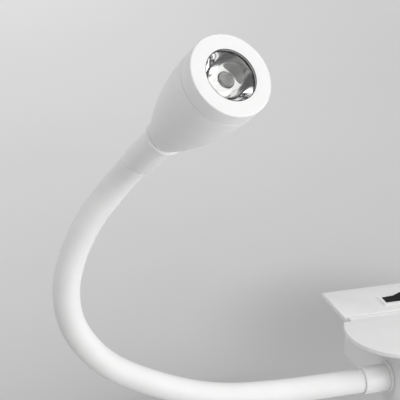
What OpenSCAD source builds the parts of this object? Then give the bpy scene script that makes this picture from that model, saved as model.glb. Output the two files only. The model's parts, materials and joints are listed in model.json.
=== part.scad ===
// Wall sconce with a shelf-topped base, a rocker switch and an LED spot on a bendable neck.
// Millimetres. The wall is the plane y = 0, the room lies on the -y side, and z points up.
// The origin lies on the wall, midway between the two fixing slots, level with the neck's exit.

/* [Housing] */
// Width of the housing along the wall
housing_w = 120; // [110:1:140]
// Height of the housing
housing_h = 36.5; // [34:0.5:50]
// Depth of the housing, out from the wall
housing_d = 76; // [72:1:78]
// Thickness of the housing's walls
housing_wall = 2; // [1.6:0.2:3]
// Radius of the housing's two front corners
housing_corner = 8; // [4:1:12]
// Height of the shelf's underside above the neck's axis
shelf_rise = 21.5; // [20:0.5:24]

/* [Shelf] */
// Width of the shelf at the wall
shelf_w = 150; // [142:1:200]
// Depth of the shelf, out from the wall
shelf_d = 80; // [79:0.5:84]
// Thickness of the shelf
shelf_t = 2.5; // [2:0.5:4]
// How far the front part bulges past the rear part on each side
shelf_bulge = 6; // [3:0.5:8]
// Radius of the shelf's front corners
shelf_corner = 30; // [30:1:36]
// Distance of the phone groove from the wall
groove_y = 30.5; // [29:0.5:36]
// Width of the phone groove
groove_w = 5; // [3:0.5:9]
// Depth of the phone groove
groove_depth = 1.2; // [0.8:0.1:1.4]
// Length of the open notch at each end of the groove
groove_notch = 3; // [1:0.5:6]
// Diameter of the posts under the shelf
post_d = 7; // [6:0.5:9]

/* [Wall plate] */
// Thickness of the wall plate
plate_t = 2; // [1.5:0.5:3]
// Distance between the two fixing slots
slot_spacing = 60; // [50:1:66]
// Width of each fixing slot
slot_w = 4.5; // [3.5:0.5:6]
// Length of each fixing slot
slot_l = 10; // [8:0.5:14]
// Height of the cable entry above the slots
entry_z = 10; // [9.5:0.5:11]
// Diameter of the cable entry in the plate
entry_d = 12; // [10:0.5:13]
// Bore of the rubber grommet
grommet_bore = 7; // [5:0.5:8]
// Distance of each fixing tab from the middle
tab_x = 28; // [24:1:32]
// Width of each fixing tab
tab_w = 12; // [10:1:16]
// Length of each fixing tab
tab_l = 14; // [12:1:16]
// Thickness of each fixing tab
tab_t = 3; // [2:0.5:4]

/* [Switch] */
// Distance of the switch's middle from the housing's left end
switch_inset = 20; // [16:0.5:24]
// Distance of the switch from the wall
switch_y = 19; // [17:0.5:20]
// Length of the switch's rim
rim_l = 17.6; // [17:0.1:19]
// Width of the switch's rim
rim_w = 10; // [9.6:0.1:12]
// Height of the switch's rim above the shelf
rim_h = 0.8; // [0.6:0.1:1.2]
// Depth of the switch below the shelf's top
switch_depth = 14; // [13:0.5:16]
// Tilt of the rocker to each side of level
rocker_tilt = 12; // [8:1:12]

/* [Supply] */
// Length of the driver's case
driver_l = 48; // [40:1:52]
// Width of the driver's case
driver_w = 26; // [24:1:28]
// Height of the driver's case
driver_h = 20; // [18:1:22]
// Wall of the driver's case
driver_wall = 1.5; // [1:0.25:2]
// Length of the terminal block
terminal_l = 24; // [21:1:30]
// Width of the terminal block
terminal_w = 14; // [12:1:16]
// Height of the terminal block
terminal_h = 12; // [10:1:13]

/* [Neck] */
// Distance of the neck's axis from the wall
neck_y = 56; // [52:1:58]
// Diameter of the neck's sleeve
sleeve_d = 12.4; // [11.5:0.1:13]
// Length of one link of the neck
link_l = 34; // [30:0.5:40]
// Diameter of the steel conduit in the neck
conduit_d = 8.4; // [7.6:0.1:8.8]
// Bore of the steel conduit
conduit_bore = 6.4; // [5.6:0.1:6.8]
// Diameter of the ball at a link's end
ball_d = 10.4; // [10:0.1:10.6]
// Clearance between a ball and its cup
ball_play = 0.15; // [0.1:0.05:0.3]
// Angle that each joint turns to either side
joint_swing = 25; // [15:1:28]
// Diameter of a wire
wire_d = 1.6; // [1.2:0.1:1.8]

/* [Collars] */
// Diameter of the two collars
collar_d = 14.2; // [14:0.1:16]
// Length of the collar on the head
collar_l = 23.5; // [18:0.5:28]
// Length of the collar on the housing
base_collar_l = 13.5; // [12:0.5:16]
// Depth of the collar's socket for the sleeve
socket_l = 9; // [6:0.5:12]
// Diameter of the washer beside a collar
washer_d = 17.8; // [17:0.1:19]
// Thickness of the washer beside a collar
washer_t = 1.5; // [1:0.1:2]
// Diameter of the hollow stud
stud_d = 9; // [8.5:0.5:9.5]
// Width across the flats of the lock nut in the housing
base_nut_flats = 14; // [12.5:0.5:16]
// Width across the flats of the lock nut in the head
head_nut_flats = 11; // [10.8:0.1:11.2]
// Thickness of the lock nuts
nut_t = 3; // [2.5:0.5:4]

/* [Head] */
// Diameter of the head at its front
head_front_d = 35; // [34:0.5:40]
// Diameter of the head at its rear
head_rear_d = 14.5; // [14.3:0.1:16]
// Length of the head
head_l = 58; // [54:1:66]
// Length of the screw-on bezel
bezel_l = 8; // [7.5:0.5:10]
// Wall of the head
head_wall = 2; // [1.6:0.1:2.2]
// Thickness of the head's rear wall
rear_wall = 4; // [3.5:0.5:5]
// Diameter of the opening in the bezel
aperture_d = 22; // [20:0.5:23]
// Thickness of the bezel's front ring
bezel_face = 1.2; // [1:0.1:2.6]
// Thickness of the bezel's tube
bezel_wall = 2; // [1.6:0.2:2.4]

/* [Lamp] */
// Diameter of the lens
lens_d = 24; // [23.5:0.1:24.6]
// Height of the lens
lens_h = 12.5; // [11:0.5:14]
// Thickness of the lens's flange
flange_t = 2; // [1.5:0.25:2.5]
// Diameter of the lens's rear end
lens_rear_d = 13; // [11:0.5:15]
// Diameter of the lens's rear hollow
hollow_d = 6.6; // [5.6:0.2:7]
// Depth of the lens's rear hollow
hollow_l = 8.5; // [6:0.5:9]
// Outside diameter of the lens holder
holder_d = 26; // [25.4:0.1:26.4]
// Diameter of the LED's board
board_d = 20; // [19:0.5:21]
// Thickness of the LED's board
board_t = 1.6; // [1:0.2:2]
// Width of the LED's package
package_w = 3.5; // [3:0.1:4]
// Height of the LED's package
package_h = 1.2; // [0.8:0.1:1.6]
// Diameter of the LED's dome
dome_d = 2.8; // [2:0.1:3]
// Thickness of the heat sink
sink_t = 10; // [8:0.5:14]

/* [Hidden] */
$fn = 64;
// Sliding clearance between a piece and its seat
fit = 0.05;
// Loose clearance round a piece that is put in by hand
loose = 0.5;
// Overlap that keeps a cut clear of a face
over = 1;
// Chamfer on turned edges
edge = 0.4;

// Rest shape of the neck: how far each link bends, and which way, in degrees from straight up
link_bend = [8, 7, 13, 9, 29, 43, 23, 38.1];
link_turn = [-55, -25, 10, 0, 0, 0, -40, -114.6];
links = len(link_bend);
last = links - 1;

floor_top = shelf_rise - housing_h + housing_wall;
floor_bottom = shelf_rise - housing_h;
shelf_top = shelf_rise + shelf_t;

plate_w = housing_w - 2 * (housing_wall + loose);
plate_h = shelf_rise - floor_top - loose;
grommet_flange = 1.5;
tab_hole_y = -plate_t - tab_l / 2;

screw_d = 2.4;
screw_hole_d = 3.4;
pilot_d = 2.5;
pilot_l = 14;
screw_head_d = 5.6;
screw_head_h = 1.6;

switch_x = housing_w / 2 - switch_inset;
post_x = housing_w / 2 - housing_wall - post_d / 2 - 2.5;
post_front_y = housing_d - housing_wall - post_d / 2 - loose;
body_l = 15.8;
body_w = 8.2;
body_play = 0.15;
post_rear_y = switch_y + body_w / 2 + post_d / 2 + 2.4;
posts = [for (x = [-post_x, post_x]) for (y = [post_rear_y, post_front_y]) [x, -y]];

pivot_z = -1.4;
window_l = 14.2;
window_w = 6.6;
rocker_l = 12.4;
rocker_w = 6;
rocker_crest = 3.7;
rocker_dip = 1;
rocker_drop = 2;
trunnion_d = 2;
body_floor = 1.4;
blade_w = 4.8;
blade_t = 0.8;
blade_x = 3.4;
blade_out = 5;
contact_l = 7.2;
contact_w = 3;
contact_t = 0.5;
blade_top = pivot_z - rocker_drop - contact_t - 0.8;

driver_x = 6;
driver_y = neck_y;
rib_h = 2;
pcb_t = 1.6;
lid_t = 1.5;
terminal_y = plate_t + tab_l + 10;
pole_pitch = 7.5;
pole_d = 3.2;

sleeve_r = sleeve_d / 2;
conduit_r = conduit_d / 2;
ball_r = ball_d / 2;
cup_r = ball_r + ball_play;
joint_gap = sleeve_r * tan(joint_swing / 2) + ball_play;
core_start = ball_r + 1;
core_stop = link_l - ball_r - 0.8;
wire_pass_d = conduit_bore - 0.4;
plug_l = socket_l - loose;
wire_off = (conduit_bore - wire_d) / 2 - fit;
neck_start = [-housing_w / 2 - washer_t - base_collar_l, -neck_y, 0];

stud_bore = conduit_bore;
stud_over = 1;

front_z = collar_l + washer_t + head_l;
rear_z = collar_l + washer_t;
seam_z = front_z - bezel_l;
face_z = front_z - bezel_face;
spigot_r = head_front_d / 2 - bezel_wall - fit;
seal_t = 1;
spigot_z = face_z - seal_t;
bore_r = spigot_r - head_wall;
lens_z = face_z - lens_h;
led_gap = 0.7;
package_z = lens_z - led_gap - package_h;
board_z = package_z - board_t;
pad_t = 0.5;
sink_z = board_z - pad_t;
profile_steps = 16;
sink_steps = 4;
board_screw_x = 8.1;
board_screw_d = 1.9;
board_screw_head_d = 3.6;
board_screw_play = 0.1;
lead_x = 4;
lead_hole_d = 2.4;

base_nodes = [
    "wall_plate", "cable_grommet", "housing", "top_shelf", "shelf_screws", "housing_screws",
    "driver_case", "driver_lid", "driver_board", "driver_parts", "terminal_block",
    "terminal_screws", "switch_body", "switch_blades", "switch_rocker", "switch_contact",
    "base_collar", "base_washer", "base_nut", "mains_wires", "lamp_wires"
];
head_nodes = [
    "head_collar", "head_washer", "head_nut", "head_shell", "front_bezel", "bezel_seal", "lens",
    "lens_holder", "led_board", "led_package", "led_dome", "thermal_pad", "board_screws",
    "heat_sink", "head_leads"
];
neck_nodes = [
    for (part = ["neck_sleeve_", "neck_conduit_", "neck_wires_"])
        for (i = [1 : links])
            str(part, i)
];

// Radius of the head's outside at a distance from the seam towards the rear
body_len = head_l - bezel_l;
head_drop = (head_front_d - head_rear_d) / 2;
function head_r(z) =
    head_front_d / 2 - head_drop * pow((seam_z - z) / body_len, 2);

// Radius of the head's inside, no wider than the bore that the lamp goes in through
function inner_r(z) = min(head_r(z) - head_wall, bore_r);

// The lens's side is a plain cone between its rear end and its flange
lens_front_r = lens_d / 2 - 1;

// Bend radius of a link
function bend_r(i) = link_l / (link_bend[i] * PI / 180);

// Rings of a round tube swept along a list of points
tube_sides = 8;
function unit(v) = v / norm(v);
function heading(p, i) = unit(p[min(i + 1, len(p) - 1)] - p[max(i - 1, 0)]);
function across(p, i) =
    let (t = heading(p, i), from = i == 0 ? [0.31, 0.52, 0.8] : across(p, i - 1))
    unit(from - (from * t) * t);
function tube_points(p, r) = [
    for (i = [0 : len(p) - 1])
        let (n = across(p, i), b = cross(heading(p, i), n))
            for (k = [0 : tube_sides - 1])
                p[i] + r * (cos(360 * k / tube_sides) * n + sin(360 * k / tube_sides) * b)
];
function tube_faces(n) = concat(
    [for (k = [1 : tube_sides - 2]) [0, k + 1, k]],
    [for (k = [1 : tube_sides - 2]) [0, k, k + 1] + (n - 1) * tube_sides * [1, 1, 1]],
    [
        for (i = [0 : n - 2])
            for (k = [0 : tube_sides - 1])
                let (a = i * tube_sides + k, b = i * tube_sides + (k + 1) % tube_sides)
                    each [[a, b, b + tube_sides], [a, b + tube_sides, a + tube_sides]]
    ]
);
module tube(p, r) {
    polyhedron(points = tube_points(p, r), faces = tube_faces(len(p)));
}

// Screw with a cross recess: the head's seat lies at z = 0 and the shank points up
module screw(shank, d = screw_d, head_d = screw_head_d) {
    recess_l = head_d * 0.57;
    recess_w = head_d * 0.16;
    difference() {
        union() {
            translate([0, 0, -screw_head_h])
                cylinder(d = head_d, h = screw_head_h);
            cylinder(d = d, h = shank);
        }
        for (a = [0, 90])
            translate([0, 0, -screw_head_h])
                rotate([0, 0, a])
                    cube([recess_l, recess_w, 2 * recess_w], center = true);
    }
}

// Housing outline seen from above, open to the wall
module housing_outline(w, d, corner) {
    translate([-w / 2, corner - d])
        square([w, d - corner]);
    translate([corner - w / 2, -d])
        square([w - 2 * corner, corner + over]);
    for (x = [corner - w / 2, w / 2 - corner])
        translate([x, corner - d])
            circle(corner);
}

module wall_plate() {
    color("silver")
        difference() {
            union() {
                translate([-plate_w / 2, -plate_t, floor_top])
                    cube([plate_w, plate_t, plate_h]);
                for (x = [-tab_x, tab_x])
                    translate([x - tab_w / 2, -plate_t - tab_l, floor_top])
                        cube([tab_w, tab_l + plate_t / 2, tab_t]);
            }
            for (x = [-slot_spacing / 2, slot_spacing / 2])
                translate([x, over, 0])
                    rotate([90, 0, 0])
                        fixing_slot();
            translate([0, over, entry_z])
                rotate([90, 0, 0])
                    cylinder(d = entry_d, h = plate_t + 2 * over);
            for (x = [-tab_x, tab_x])
                translate([x, tab_hole_y, floor_top - over])
                    cylinder(d = pilot_d, h = tab_t + 2 * over);
        }
}

module fixing_slot() {
    reach = (slot_l - slot_w) / 2;
    for (x = [-reach, reach])
        translate([x, 0, 0])
            cylinder(d = slot_w, h = plate_t + 2 * over);
    translate([-reach, -slot_w / 2, 0])
        cube([2 * reach, slot_w, plate_t + 2 * over]);
}

module cable_grommet() {
    r = entry_d / 2 - fit;
    color("dimgray")
        translate([0, 0, entry_z])
            rotate([90, 0, 0])
                difference() {
                    union() {
                        cylinder(r = r, h = plate_t + grommet_flange);
                        translate([0, 0, plate_t])
                            cylinder(r = r + grommet_flange, h = grommet_flange);
                    }
                    translate([0, 0, -over])
                        cylinder(d = grommet_bore, h = plate_t + grommet_flange + 2 * over);
                }
}

module housing() {
    inner_corner = housing_corner - housing_wall;
    color("white")
        difference() {
            translate([0, 0, floor_bottom])
                linear_extrude(housing_h)
                    housing_outline(housing_w, housing_d, housing_corner);
            translate([0, over, floor_top])
                linear_extrude(housing_h)
                    housing_outline(
                        housing_w - 2 * housing_wall, housing_d - housing_wall + over, inner_corner
                    );
            translate([-housing_w / 2 - over, -neck_y, 0])
                rotate([0, 90, 0])
                    cylinder(d = stud_d + 2 * fit, h = housing_wall + 2 * over);
            for (p = concat(posts, [for (x = [-tab_x, tab_x]) [x, tab_hole_y]]))
                translate([p[0], p[1], floor_bottom - over])
                    cylinder(d = screw_hole_d, h = housing_wall + 2 * over);
        }
}

// Front part of the shelf: two round lobes that start at the groove
module shelf_outline() {
    side = shelf_w / 2 + shelf_bulge;
    front_y = -groove_y - groove_w;
    intersection() {
        translate([-side - over, -shelf_d - over])
            square([2 * (side + over), shelf_d + over + front_y]);
        union() {
            translate([shelf_corner - side, -shelf_d])
                square([2 * (side - shelf_corner), shelf_d]);
            for (x = [shelf_corner - side, side - shelf_corner])
                translate([x, shelf_corner - shelf_d])
                    circle(shelf_corner);
        }
    }
}

module top_shelf() {
    color("white")
        difference() {
            union() {
                translate([0, 0, shelf_rise])
                    linear_extrude(shelf_t)
                        shelf_outline();
                translate([-shelf_w / 2, -groove_y, shelf_rise])
                    cube([shelf_w, groove_y, shelf_t]);
                translate([groove_notch - shelf_w / 2, -groove_y - groove_w - over, shelf_rise])
                    cube([shelf_w - 2 * groove_notch, groove_w + 2 * over, shelf_t - groove_depth]);
                for (p = posts)
                    translate([p[0], p[1], floor_top])
                        cylinder(d = post_d, h = shelf_rise - floor_top + shelf_t / 4);
            }
            for (p = posts)
                translate([p[0], p[1], floor_top - over])
                    cylinder(d = pilot_d, h = pilot_l + over);
            translate([-switch_x, -switch_y, shelf_rise])
                cube([body_l + 2 * body_play, body_w + 2 * body_play, 4 * shelf_t], center = true);
        }
}

module shelf_screws() {
    color("gainsboro")
        for (p = posts)
            translate([p[0], p[1], floor_bottom])
                screw(housing_wall + pilot_l - over);
}

module housing_screws() {
    color("gainsboro")
        for (x = [-tab_x, tab_x])
            translate([x, tab_hole_y, floor_bottom])
                screw(housing_wall + tab_t);
}

// The driver lies on the housing's floor behind the front wall
module at_driver() {
    translate([driver_x - driver_l / 2, -driver_y - driver_w / 2, floor_top])
        children();
}

module driver_case() {
    inner_l = driver_l - 2 * driver_wall;
    inner_w = driver_w - 2 * driver_wall;
    color("ivory")
        at_driver() {
            difference() {
                cube([driver_l, driver_w, driver_h - lid_t]);
                translate([driver_wall, driver_wall, driver_wall])
                    cube([inner_l, inner_w, driver_h]);
                for (y = [driver_w / 2 - wire_d, driver_w / 2 + wire_d])
                    translate([-over, y, driver_h / 2])
                        rotate([0, 90, 0])
                            cylinder(d = wire_d + 0.4, h = driver_wall + 2 * over);
            }
            for (x = [driver_wall, driver_l - 2 * driver_wall])
                translate([x, driver_wall / 2, driver_wall / 2])
                    cube([driver_wall, driver_w - driver_wall, driver_wall / 2 + rib_h]);
        }
}

module driver_lid() {
    color("ivory")
        at_driver()
            difference() {
                translate([0, 0, driver_h - lid_t])
                    cube([driver_l, driver_w, lid_t]);
                for (x = [driver_l * 0.3 : 4 : driver_l * 0.7])
                    translate([x, driver_w / 4, 0])
                        cube([1.5, driver_w / 2, 2 * driver_h]);
            }
}

module driver_board() {
    color("darkgreen")
        at_driver()
            translate([driver_wall + loose, driver_wall + loose, driver_wall + rib_h])
                cube([
                    driver_l - 2 * (driver_wall + loose), driver_w - 2 * (driver_wall + loose),
                    pcb_t
                ]);
}

module driver_parts() {
    top = driver_wall + rib_h + pcb_t;
    part_h = driver_h - lid_t - top - 2 * loose;
    color("goldenrod")
        at_driver() {
            translate([driver_l * 0.5, driver_w / 2 - part_h / 2, top])
                cube([part_h, part_h, part_h]);
            translate([driver_l * 0.32, driver_w / 2, top])
                cylinder(d = part_h * 0.7, h = part_h);
            translate([driver_l * 0.84, driver_w / 2, top])
                cylinder(d = part_h * 0.5, h = part_h * 0.8);
        }
}

// The terminal block lies on the floor between the wall plate's tabs and the driver
module at_terminal() {
    translate([0, -terminal_y, floor_top])
        children();
}

module terminal_block() {
    color("white")
        at_terminal()
            difference() {
                translate([-terminal_l / 2, -terminal_w / 2, 0])
                    cube([terminal_l, terminal_w, terminal_h]);
                for (x = [-pole_pitch, 0, pole_pitch]) {
                    translate([x, 0, terminal_h / 2])
                        cylinder(d = pole_d + 2 * fit, h = terminal_h);
                    translate([x, terminal_w / 2 + over, terminal_h / 3])
                        rotate([90, 0, 0])
                            cylinder(d = pole_d, h = terminal_w + 2 * over);
                }
            }
}

module terminal_screws() {
    color("gold")
        at_terminal()
            for (x = [-pole_pitch, 0, pole_pitch])
                translate([x, 0, terminal_h / 2])
                    difference() {
                        cylinder(d = pole_d, h = terminal_h / 2 - 0.6);
                        translate([0, 0, terminal_h / 2])
                            cube([2 * pole_d, 0.6, 2.4], center = true);
                    }
}

// The switch's own frame: z = 0 is the shelf's top, and the pivot runs along y
module at_switch() {
    translate([-switch_x, -switch_y, shelf_top])
        children();
}

module switch_body() {
    color("white")
        at_switch()
            difference() {
                union() {
                    translate([-rim_l / 2, -rim_w / 2, 0])
                        cube([rim_l, rim_w, rim_h]);
                    translate([-body_l / 2, -body_w / 2, -switch_depth])
                        cube([body_l, body_w, switch_depth + rim_h / 2]);
                }
                translate([-window_l / 2, -window_w / 2, body_floor - switch_depth])
                    cube([window_l, window_w, switch_depth + rim_h]);
                translate([0, body_w, pivot_z])
                    rotate([90, 0, 0])
                        cylinder(d = trunnion_d + 2 * fit, h = 2 * body_w);
                for (x = [-blade_x, blade_x])
                    translate([x, 0, -switch_depth])
                        cube([blade_t + 2 * fit, blade_w + 2 * fit, 4 * body_floor], center = true);
            }
}

module switch_blades() {
    h = switch_depth + blade_top + blade_out;
    color("goldenrod")
        at_switch()
            for (x = [-blade_x, blade_x])
                translate([x - blade_t / 2, -blade_w / 2, -switch_depth - blade_out])
                    cube([blade_t, blade_w, h]);
}

// The rocker rests with its left end pressed down
module at_rocker() {
    at_switch()
        translate([0, 0, pivot_z])
            rotate([0, -rocker_tilt, 0])
                children();
}

module switch_rocker() {
    half = rocker_l / 2;
    side_z = rocker_crest - 3;
    color("black")
        at_rocker() {
            translate([0, rocker_w / 2, 0])
                rotate([90, 0, 0])
                    linear_extrude(rocker_w)
                        polygon([
                            [-half, rocker_crest], [-half + 0.3, side_z], [-half / 2, -rocker_drop],
                            [half / 2, -rocker_drop], [half - 0.3, side_z], [half, rocker_crest],
                            [0, rocker_crest - rocker_dip]
                        ]);
            translate([0, body_w / 2 - fit, 0])
                rotate([90, 0, 0])
                    cylinder(d = trunnion_d, h = body_w - 2 * fit);
        }
}

module switch_contact() {
    color("chocolate")
        at_rocker()
            translate([-contact_l / 2, -contact_w / 2, -rocker_drop - contact_t])
                cube([contact_l, contact_w, contact_t]);
}

// A collar's own frame: the neck meets it at z = 0 and its washer lies at the other end
module collar(length, wall) {
    stud_end = length + washer_t + wall + nut_t + stud_over;
    r = collar_d / 2;
    color("white")
        rotate_extrude()
            polygon([
                [sleeve_r + fit, 0], [r - edge, 0], [r, edge], [r, length - edge],
                [r - edge, length], [stud_d / 2, length], [stud_d / 2, stud_end],
                [stud_bore / 2, stud_end], [stud_bore / 2, socket_l], [sleeve_r + fit, socket_l]
            ]);
}

module washer(length) {
    r = washer_d / 2;
    color("white")
        translate([0, 0, length])
            rotate_extrude()
                polygon([
                    [stud_d / 2 + fit, 0], [r - edge / 2, 0], [r, edge / 2],
                    [r, washer_t - edge / 2], [r - edge / 2, washer_t], [stud_d / 2 + fit, washer_t]
                ]);
}

module lock_nut(length, wall, flats) {
    color("silver")
        translate([0, 0, length + washer_t + wall])
            difference() {
                cylinder(d = flats / cos(30), h = nut_t, $fn = 6);
                translate([0, 0, -over])
                    cylinder(r = stud_d / 2 + fit, h = nut_t + 2 * over);
            }
}

module at_base_collar() {
    translate(neck_start)
        rotate([0, 90, 0])
            children();
}

module base_collar() {
    at_base_collar()
        collar(base_collar_l, housing_wall);
}

module base_washer() {
    at_base_collar()
        washer(base_collar_l);
}

module base_nut() {
    at_base_collar()
        lock_nut(base_collar_l, housing_wall, base_nut_flats);
}

// Wires inside the housing, from piece to piece
pole_z = floor_top + terminal_h / 3;
pole_back = terminal_w / 2 - terminal_y;
pole_front = -terminal_w / 2 - terminal_y;
blade_end = shelf_top - switch_depth - blade_out - 0.2;
blade_left = -switch_x - blade_x;
blade_right = blade_x - switch_x;
driver_left = driver_x - driver_l / 2 - 0.1;
driver_mid = floor_top + driver_h / 2;
mouth_x = housing_wall + nut_t + stud_over - housing_w / 2;
entry_x = neck_start[0] + 0.3;
wire_gap = wire_d;
mains_runs = [
    [
        [-pole_pitch, pole_back, pole_z], [-pole_pitch - 1.5, pole_back + 3.5, pole_z + 1],
        [-22, pole_back - 0.5, pole_z + 1], [blade_left + 5.4, -switch_y, blade_end - 10.8],
        [blade_left, -switch_y, blade_end - 5.8], [blade_left, -switch_y, blade_end]
    ],
    [
        [blade_right, -switch_y, blade_end], [blade_right, -switch_y, blade_end - 4.8],
        [blade_right + 3.6, -switch_y - 7, blade_end - 8.8], [driver_left - 10, -42, driver_mid - 2],
        [driver_left - 8, 4 - driver_y, driver_mid - 1], [driver_left, wire_gap - driver_y, driver_mid]
    ]
];
lamp_runs = [
    [
        [driver_left, -driver_y - wire_gap, driver_mid],
        [driver_left - 6, -driver_y - wire_gap, driver_mid], [mouth_x + 14, -neck_y - 1, -1],
        [mouth_x + 9, -neck_y, 1], [mouth_x + 3, -neck_y, wire_gap],
        [mouth_x - 10, -neck_y, wire_gap], [entry_x, -neck_y, wire_gap]
    ],
    [
        [-pole_pitch, pole_front, pole_z], [-pole_pitch - 1.5, pole_front - 3, pole_z - 0.5],
        [driver_left - 2, pole_front - 5, floor_top + 1.5],
        [driver_left - 12, pole_front - 13, floor_top + 2],
        [mouth_x + 8, 3 - neck_y, -4], [mouth_x + 3, -neck_y, -wire_gap],
        [mouth_x - 10, -neck_y, -wire_gap], [entry_x, -neck_y, -wire_gap]
    ]
];

module mains_wires() {
    color("saddlebrown")
        for (run = mains_runs)
            tube(run, wire_d / 2);
}

module lamp_wires() {
    color("firebrick")
        for (run = lamp_runs)
            tube(run, wire_d / 2);
}

// From a link's start to its end, keeping the frame's twist
module to_link_end(i) {
    r = bend_r(i);
    b = link_bend[i];
    rotate([0, 0, link_turn[i]])
        translate([r * (1 - cos(b)), 0, r * sin(b)])
            rotate([0, b, 0])
                rotate([0, 0, -link_turn[i]])
                    children();
}

// A link's own frame: its start is the origin and the neck leaves along +z
module at_link(i) {
    if (i == 0)
        translate(neck_start)
            rotate([0, -90, 0])
                children();
    else
        at_link(i - 1)
            to_link_end(i - 1)
                children();
}

module at_head() {
    at_link(last)
        to_link_end(last)
            children();
}

// Bent length of round stock along a link, between two distances from its start
module bent(i, from, to) {
    r = bend_r(i);
    per_mm = link_bend[i] / link_l;
    rotate([0, 0, link_turn[i]])
        translate([r, 0, 0])
            rotate([90, 0, 180])
                rotate([0, 0, from * per_mm])
                    rotate_extrude(angle = (to - from) * per_mm)
                        translate([r, 0])
                            children();
}

module neck_sleeve(i) {
    start = i == 0 ? 0 : joint_gap;
    stop = i == last ? link_l : link_l - joint_gap;
    bore = conduit_r + fit;
    color("whitesmoke")
        at_link(i)
            difference() {
                union() {
                    bent(i, start, stop)
                        circle(sleeve_r);
                    if (i == 0)
                        translate([0, 0, -plug_l])
                            cylinder(r = sleeve_r - fit, h = plug_l + loose);
                    if (i == last)
                        to_link_end(i)
                            translate([0, 0, -loose])
                                cylinder(r = sleeve_r - fit, h = plug_l + loose);
                    else
                        to_link_end(i)
                            sphere(ball_r);
                }
                bent(i, 0, i == last ? link_l : core_stop + fit)
                    circle(bore);
                if (i == 0)
                    translate([0, 0, -plug_l - over])
                        cylinder(r = bore + fit, h = plug_l + over + loose);
                else
                    sphere(cup_r);
                if (i == last)
                    to_link_end(i)
                        translate([0, 0, -loose])
                            cylinder(r = bore + fit, h = plug_l + over + loose);
                else
                    to_link_end(i)
                        translate([0, 0, -ball_r - over])
                            cylinder(d = wire_pass_d, h = 2 * (ball_r + over));
            }
}

module neck_conduit(i) {
    color("gray")
        at_link(i)
            bent(i, i == 0 ? 0 : core_start, i == last ? link_l : core_stop)
                difference() {
                    circle(conduit_r);
                    circle(d = conduit_bore);
                }
}

module neck_wires(i) {
    color("firebrick")
        at_link(i)
            for (y = [-wire_off, wire_off])
                bent(i, i == 0 ? 0 : core_start, i == last ? link_l : core_stop)
                    translate([0, y])
                        circle(d = wire_d);
}

module head_collar() {
    at_head()
        collar(collar_l, rear_wall);
}

module head_washer() {
    at_head()
        washer(collar_l);
}

module head_nut() {
    at_head()
        lock_nut(collar_l, rear_wall, head_nut_flats);
}

module head_shell() {
    step = body_len / profile_steps;
    outer = [for (k = [0 : profile_steps]) [head_r(rear_z + k * step), rear_z + k * step]];
    inner_l = body_len - rear_wall;
    inner = [
        for (k = [profile_steps : -1 : 0])
            let (z = rear_z + rear_wall + k * inner_l / profile_steps)
                [inner_r(z), z]
    ];
    color("white")
        at_head()
            rotate_extrude()
                polygon(concat(
                    outer, [[spigot_r, seam_z], [spigot_r, spigot_z], [bore_r, spigot_z]], inner,
                    [[stud_d / 2 + fit, rear_z + rear_wall], [stud_d / 2 + fit, rear_z]]
                ));
}

module front_bezel() {
    r = head_front_d / 2;
    color("white")
        at_head()
            rotate_extrude()
                polygon([
                    [r - bezel_wall, seam_z + fit], [r - edge, seam_z + fit], [r, seam_z + edge],
                    [r, front_z - edge], [r - edge, front_z], [aperture_d / 2 + edge, front_z],
                    [aperture_d / 2, front_z - edge], [aperture_d / 2, face_z],
                    [r - bezel_wall, face_z]
                ]);
}

module bezel_seal() {
    color("dimgray")
        at_head()
            translate([0, 0, spigot_z])
                difference() {
                    cylinder(r = spigot_r - fit, h = seal_t);
                    translate([0, 0, -over])
                        cylinder(r = bore_r, h = seal_t + 2 * over);
                }
}

module lens() {
    r = lens_d / 2;
    color("lightcyan", 0.6)
        at_head()
            difference() {
                rotate_extrude()
                    polygon([
                        [0, lens_z], [lens_rear_d / 2, lens_z], [lens_front_r, face_z - flange_t],
                        [r, face_z - flange_t], [r, face_z], [0, face_z]
                    ]);
                translate([0, 0, lens_z - over])
                    cylinder(d = hollow_d, h = hollow_l + over);
            }
}

module lens_holder() {
    base_z = board_z + board_t;
    rear_r = lens_rear_d / 2 + loose;
    color("dimgray")
        at_head()
            difference() {
                rotate_extrude()
                    polygon([
                        [rear_r, base_z], [rear_r, lens_z],
                        [lens_front_r + loose, face_z - flange_t], [holder_d / 2, face_z - flange_t],
                        [holder_d / 2, base_z]
                    ]);
                for (x = [-board_screw_x, board_screw_x])
                    translate([x, 0, base_z - over])
                        cylinder(d = board_screw_head_d + loose, h = screw_head_h + over + loose);
            }
}

module led_board() {
    color("white")
        at_head()
            translate([0, 0, board_z])
                difference() {
                    cylinder(d = board_d, h = board_t);
                    for (x = [-board_screw_x, board_screw_x])
                        translate([x, 0, -over])
                            cylinder(d = board_screw_d + 4 * board_screw_play, h = board_t + 2 * over);
                }
}

module led_package() {
    color("ivory")
        at_head()
            translate([-package_w / 2, -package_w / 2, package_z])
                cube([package_w, package_w, package_h]);
}

module led_dome() {
    color("gold")
        at_head()
            translate([0, 0, package_z + package_h])
                intersection() {
                    sphere(d = dome_d);
                    translate([-dome_d, -dome_d, 0])
                        cube(2 * dome_d);
                }
}

module thermal_pad() {
    color("lightgray")
        at_head()
            translate([0, 0, sink_z])
                difference() {
                    cylinder(d = board_d - 1, h = pad_t);
                    for (x = [-board_screw_x, board_screw_x])
                        translate([x, 0, -over])
                            cylinder(d = board_screw_d + 4 * board_screw_play, h = pad_t + 2 * over);
                }
}

module board_screws() {
    color("silver")
        at_head()
            for (x = [-board_screw_x, board_screw_x])
                translate([x, 0, board_z + board_t])
                    rotate([180, 0, 0])
                        screw(board_t + pad_t + sink_t - over, board_screw_d, board_screw_head_d);
}

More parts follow.
